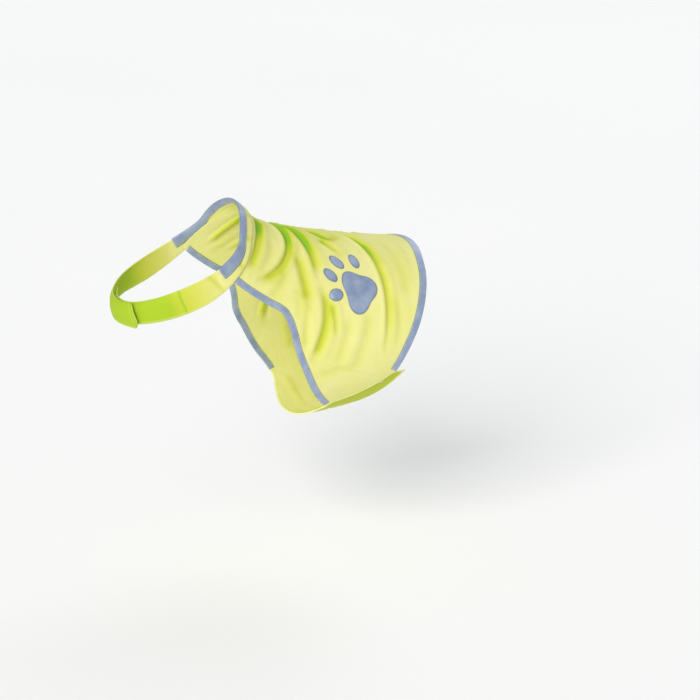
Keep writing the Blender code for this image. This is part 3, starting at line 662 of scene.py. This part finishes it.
def folded_tape(name, node, cut, first, last, side, cloth_half, slide, flat, width):
    """A length of tape folded over an edge of the cut, as a sheet with the fold's round tip. It
    gives back the needle line on each face, for the thread."""
    edge = along_edge(cut, first, last, side, 2.0)
    extra = cloth_half - section_half
    tip, tip_normal = from_edge(cut, edge, 0.01, slide)
    away = unit(tip - from_edge(cut, edge, 2.0, slide)[0])
    outside, inside = [], []
    for reach, height in tape_section:
        point, normal = from_edge(cut, edge, max(reach * width, 0.01), slide)
        outside.append(point + normal * (height + extra))
        inside.append(point - normal * (height + extra))
    bend = []
    for turn in (55, 0, -55):
        rise, out = np.sin(np.radians(turn)), np.cos(np.radians(turn))
        bend.append(tip + (tip_normal * rise + away * out) * (fold_radius + extra))
    points = np.stack(outside + bend + inside[::-1], 1)
    normals = unit(np.cross(np.gradient(points, axis=0), np.gradient(points, axis=1)))
    if (normals[:, 2] * tip_normal).sum() < 0:
        normals = -normals
    # Painted shade: dark at the cut edges, along the needle lines and over the fold.
    count = len(tape_section)
    mark = np.zeros(points.shape[:2])
    mark[:, (0, -1)] = 0.8
    mark[:, (2, -3)] = 0.55
    mark[:, count : count + 3] = 0.25
    piece = cloth_shell(name, points, normals, tape_half, {"hem": mark}, tape_look)
    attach(piece, "root")
    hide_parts(node)
    point, normal = from_edge(cut, edge, needle_line * width, slide)
    out = normal * (thread_height + extra)
    return [(point + out, normal), (point - out, -normal)]


# name, CAD node, cut, first and last place, side, half wall of the cloth, how far the ends' inner
# corners slide along the edge, flat size, share of the full width
tape_rows = (
    ("tape_left_leg", "binding_leg_left", panel, 0, 7.25, 0, 0.5, (0, 3.5), (0.25, 0.020), 0.85),
    ("tape_right_leg", "binding_leg_right", panel, 16.75, 24, 0, 0.5, (-3.5, 0), (0.248, 0.020), 0.85),
    ("tape_rear_hem", "binding_rear", panel, 0, 24, 1, 0.5, (0, 0), (0.48, 0.023), 1.0),
    ("tape_collar", "collar_tape", band, 5, 17, 0, 0.95, (-1, 1), (0.30, 0.025), 1.0),
)
tape_seams = {}
for name, *how in tape_rows:
    tape_seams[name] = folded_tape(name, *how)

# ---------------------------------------------------------------- hook and loop patches
# A pair under the belly and a pair at the throat: woven nylon squares, hooks on the side that
# faces in and soft loops on the side that faces out, each sewn flat on its own layer.
patch_look, surface = new_look(
    "nylon hook and loop, woven pile",
    Roughness=0.9,
    IOR=1.53,
    Sheen_Weight=0.5,
    Sheen_Roughness=0.6,
)
links = patch_look.node_tree.links
place = add(patch_look, "TexCoord").outputs["Object"]
fuzz = add(patch_look, "TexNoise", Vector=place, Scale=420.0, Detail=5.0).outputs["Fac"]
shade = add(patch_look, "Mix", colours, i0=fuzz, i6=linear("B4C452"), i7=linear("D8DF86"))
links.new(shade.outputs[2], surface.inputs["Base Color"])
pile = add(patch_look, "Bump", Strength=0.8, Distance=0.0006, Height=fuzz)
links.new(pile.outputs[0], surface.inputs["Normal"])

patch_half = 0.55
# name, CAD node, cut, first and last place, first and last fraction, height of its middle over
# the cloth's in mm, flat size
for name, node, cut_of, first, last, front, rear, height, flat in (
    ("hook_belly", "patch_hook_belly", panel, 0.25, 0.75, 0.12, 0.85, -1.3, (0.024, 0.09)),
    ("loop_belly", "patch_loop_belly", panel, 29.08, 29.75, 0.15, 0.75, 1.3, (0.018, 0.058)),
    ("loop_throat", "patch_loop_throat", band, 0.33, 1.5, 0.26, 0.96, 1.5, (0.057, 0.025)),
    ("hook_throat", "patch_hook_throat", band, 20.8, 22.5, 0.26, 0.96, -1.5, (0.056, 0.027)),
):
    lengthwise, crosswise = np.linspace(first, last, 26), np.linspace(front, rear, 44)
    places, fractions = np.meshgrid(lengthwise, crosswise, indexing="ij")
    ring, angle = cut_of.spot(places, fractions)
    points = cut_of.raised(ring, angle, places)[0]
    normals = outward(points, trunk_ways(ring, angle)[2])
    points = points + normals * height
    piece = cloth_shell(name, points, normals, patch_half, {"hem": 0.0}, patch_look)
    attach(piece, "root")
    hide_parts(node)

# ---------------------------------------------------------------- paw
# A paw print in five cuts of the same reflective film, pressed and then sewn down round each
# outline, on the left flank.

# name, ring, angle, length, width, turn down from straight back, how far the three lobes stand
# out, and the lobes' own turn
paw = (
    ("paw_pad", 3.42, 57.4, 66, 42, 50, 0.17, 40),
    ("paw_toe_1", 2.81, 49, 27, 12.5, 36, 0, 0),
    ("paw_toe_2", 2.88, 38.5, 28, 12.5, 38, 0, 0),
    ("paw_toe_3", 3.24, 36, 25, 12.5, 60, 0, 0),
    ("paw_toe_4", 3.03, 61.5, 21, 17, 30, 0, 0),
)
film_half = 0.3


def outline_point(shape, share, theta):
    """Points and normals of the cloth at a share of the way out to a cut's outline."""
    ring, angle, length, width, turn, lobes, lobe_turn = shape
    back, down, _ = trunk_ways(np.float64(ring), np.float64(angle))
    radius = share * (1 + lobes * np.cos(3 * (theta - np.radians(lobe_turn))))
    x, y = radius * length / 2 * np.cos(theta), radius * width / 2 * np.sin(theta)
    c, s = np.cos(np.radians(turn)), np.sin(np.radians(turn))
    rings = ring + (c * x - s * y) / np.linalg.norm(back)
    angles = angle + (s * x + c * y) / np.linalg.norm(down)
    return panel.surface(rings, angles)


# A square grid drawn out to the outline keeps the film's mesh even. It is finer at the edge.
size = np.concatenate([np.linspace(-1, -0.9, 3), np.linspace(-0.9, 0.9, 26)[1:-1], np.linspace(0.9, 1, 3)])
u, v = np.meshgrid(size, size, indexing="ij")
x, y = u * np.sqrt(1 - v * v / 2), v * np.sqrt(1 - u * u / 2)
share, theta = np.hypot(x, y), np.arctan2(y, x)
for name, *shape in paw:
    length, width = shape[2:4]
    points, normals = outline_point(shape, share, theta)
    inset = (1 - share) * min(length, width) / 2
    # The film is pressed down, and painted with shade along its outline.
    rise = 0.88 + 0.12 * np.clip(inset / 4.0, 0, 1)
    mark = 0.65 * np.clip((1.3 - inset) / 0.8, 0, 1)
    points = points + normals * rise[..., None]
    piece = cloth_shell(name + "_film", points, normals, film_half, {"hem": mark}, tape_look)
    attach(piece, "root")
    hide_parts(name)

# ---------------------------------------------------------------- sewing thread
# Lockstitch in spun polyester along the tapes and the band's lower edge, across the flaps and
# round the paw. Each stitch is a shape of its own, with a small gap to the next.
thread_looks = []
for name, rough, dark, light in (
    ("spun polyester thread, pale yellow", 0.7, "CDD566", "E6E99A"),
    ("spun polyester thread, blue-grey", 0.65, "6F7F98", "93A2BC"),
):
    look, surface = new_look(name, Roughness=rough, IOR=1.5, Sheen_Weight=0.3)
    place = add(look, "TexCoord").outputs["Object"]
    uneven = add(look, "TexNoise", Vector=place, Scale=300.0, Detail=2.0).outputs["Fac"]
    shade = add(look, "Mix", colours, i0=uneven, i6=linear(dark), i7=linear(light))
    look.node_tree.links.new(shade.outputs[2], surface.inputs["Base Color"])
    thread_looks.append(look)
yellow_thread, grey_thread = thread_looks

# One stitch, long on X, and flattened as it bears on the cloth.
stitch_length, stitch_gap = 2.6, 0.9
bpy.ops.object.select_all(action="DESELECT")
bpy.ops.mesh.primitive_uv_sphere_add(segments=6, ring_count=4, radius=1.0)
stitch = bpy.context.object
stitch_points = np.array([v.co for v in stitch.data.vertices]) * (stitch_length / 2, 0.34, 0.24)
stitch_faces = [tuple(p.vertices) for p in stitch.data.polygons]
bpy.data.objects.remove(stitch)


def spot_along(run, table, distance):
    """A table's row at a distance along the run."""
    return np.array([np.interp(distance, run, column) for column in table.T])


def sew(name, runs, length, gap, look):
    """Stitches along runs of points with their normals, as one piece."""
    points, faces = [], []
    for line, normal in runs:
        run = run_along(line)
        count = max(1, int(run[-1] / (length + gap)))
        for k in range(count):
            middle = (k + 0.5) * run[-1] / count
            way = spot_along(run, line, middle + 0.8) - spot_along(run, line, middle - 0.8)
            out = spot_along(run, normal, middle)
            out = out / np.linalg.norm(out)
            way = unit(way - out * (way @ out))
            turn = np.stack([way * length / stitch_length, np.cross(out, way), out])
            faces += [tuple(v + len(points) * len(stitch_points) for v in face) for face in stitch_faces]
            points.append(spot_along(run, line, middle) + stitch_points @ turn)
    mesh = bpy.data.meshes.new(name)
    mesh.from_pydata((np.concatenate(points) * 0.001).tolist(), [], faces)
    mesh.polygons.foreach_set("use_smooth", np.ones(len(mesh.polygons), bool))
    mesh.materials.append(look)
    piece = bpy.data.objects.new(name, mesh)
    bpy.context.scene.collection.objects.link(piece)
    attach(piece, "root")


for name, runs in tape_seams.items():
    sew("stitches_" + name, runs, stitch_length, stitch_gap, yellow_thread)

runs = []
# cut, height over its middle in mm, place and fraction of the line's start and of its end
for cut_of, height, start, end in (
    (panel, 0.85, (0.12, 0.10), (0.12, 0.92)),
    (panel, 0.5, (29.0, 0.12), (29.0, 0.88)),
    (band, 1.0, (3.0, 0.08), (3.0, 0.92)),
    (band, 1.0, (4.2, 0.95), (18.0, 0.95)),
    (band, 1.0, (20.7, 0.1), (20.7, 0.9)),
    (band, 1.0, (22.65, 0.1), (22.65, 0.9)),
):
    places, fractions = np.linspace(start, end, 160).T
    point, normal = cut_of.surface(*cut_of.spot(places, fractions))
    runs.append((point + normal * height, normal))
ring = np.linspace(flap_seam[0, 0], flap_seam[-1, 0], 80)
point, normal = panel.surface(ring, np.interp(ring, *flap_seam.T))
flap_thread_height = 0.45
runs.append((point + normal * flap_thread_height, normal))
sew("stitches_flaps", runs, stitch_length, stitch_gap, yellow_thread)

runs = []
paw_seam_inset, paw_thread_height = 1.2, 1.35
for name, *shape in paw:
    share = 1 - 2 * paw_seam_inset / min(shape[2:4])
    point, normal = outline_point(shape, share, np.linspace(0, 2 * np.pi, 120))
    runs.append((point + normal * paw_thread_height, normal))
sew("stitches_paw", runs, 2.2, 0.7, grey_thread)

# ---------------------------------------------------------------- floor, light and camera
# A pale studio floor, a broad soft light from the front of the left flank, a weaker one from
# behind on the right, an even surround, and the camera at the photograph's angle.
floor_look, surface = new_look("painted studio floor, matt", Roughness=0.9)
links = floor_look.node_tree.links
place = add(floor_look, "TexCoord").outputs["Object"]
cloud = add(floor_look, "TexNoise", Vector=place, Scale=0.8, Detail=2.0).outputs["Fac"]
shade = add(floor_look, "Mix", colours, i0=cloud, i6=linear("F8F8F7"), i7=linear("FCFCFB"))
links.new(shade.outputs[2], surface.inputs["Base Color"])
bpy.ops.object.select_all(action="DESELECT")
bpy.ops.mesh.primitive_plane_add(size=24, location=(0, 0, -0.47))
floor = bpy.context.object
floor.name = "studio_floor"
floor.data.materials.append(floor_look)

for name, way, power, width, colour in (
    ("key", (0.90, -0.95, 0.80), 2.6, 0.65, "FFFDF6"),
    ("fill", (-0.8, 0.9, 0.9), 0.9, 0.9, "F4F7FF"),
):
    lamp = bpy.data.lights.new(name, "SUN")
    lamp.energy, lamp.angle, lamp.color = power, width, linear(colour)[:3]
    light = bpy.data.objects.new(name, lamp)
    bpy.context.scene.collection.objects.link(light)
    light.location = np.array(way) * 3
    light.rotation_euler = (np.arctan2(np.hypot(way[0], way[1]), way[2]), 0, np.arctan2(way[0], -way[1]))

world = bpy.data.worlds.new("surround")
bpy.context.scene.world = world
world.use_nodes = True
background = world.node_tree.nodes["Background"]
background.inputs["Color"].default_value = linear("F7FAFF")
background.inputs["Strength"].default_value = 0.42
bpy.context.scene.view_settings.view_transform = "Standard"

lens = bpy.data.cameras.new("view")
lens.sensor_fit, lens.sensor_width, lens.lens = "AUTO", 36.0, 129.6
lens.clip_start, lens.clip_end = 0.05, 60.0
camera = bpy.data.objects.new("view", lens)
bpy.context.scene.collection.objects.link(camera)
turn, rise = np.radians(65.0), np.radians(17.5)
camera.rotation_euler = (np.pi / 2 - rise, 0, turn)
aim = np.array([0.0450, 0.0084, -0.1582])
back = np.array([np.sin(turn) * np.cos(rise), -np.cos(turn) * np.cos(rise), np.sin(rise)])
camera.location = aim + 3.5 * back
bpy.context.scene.camera = camera
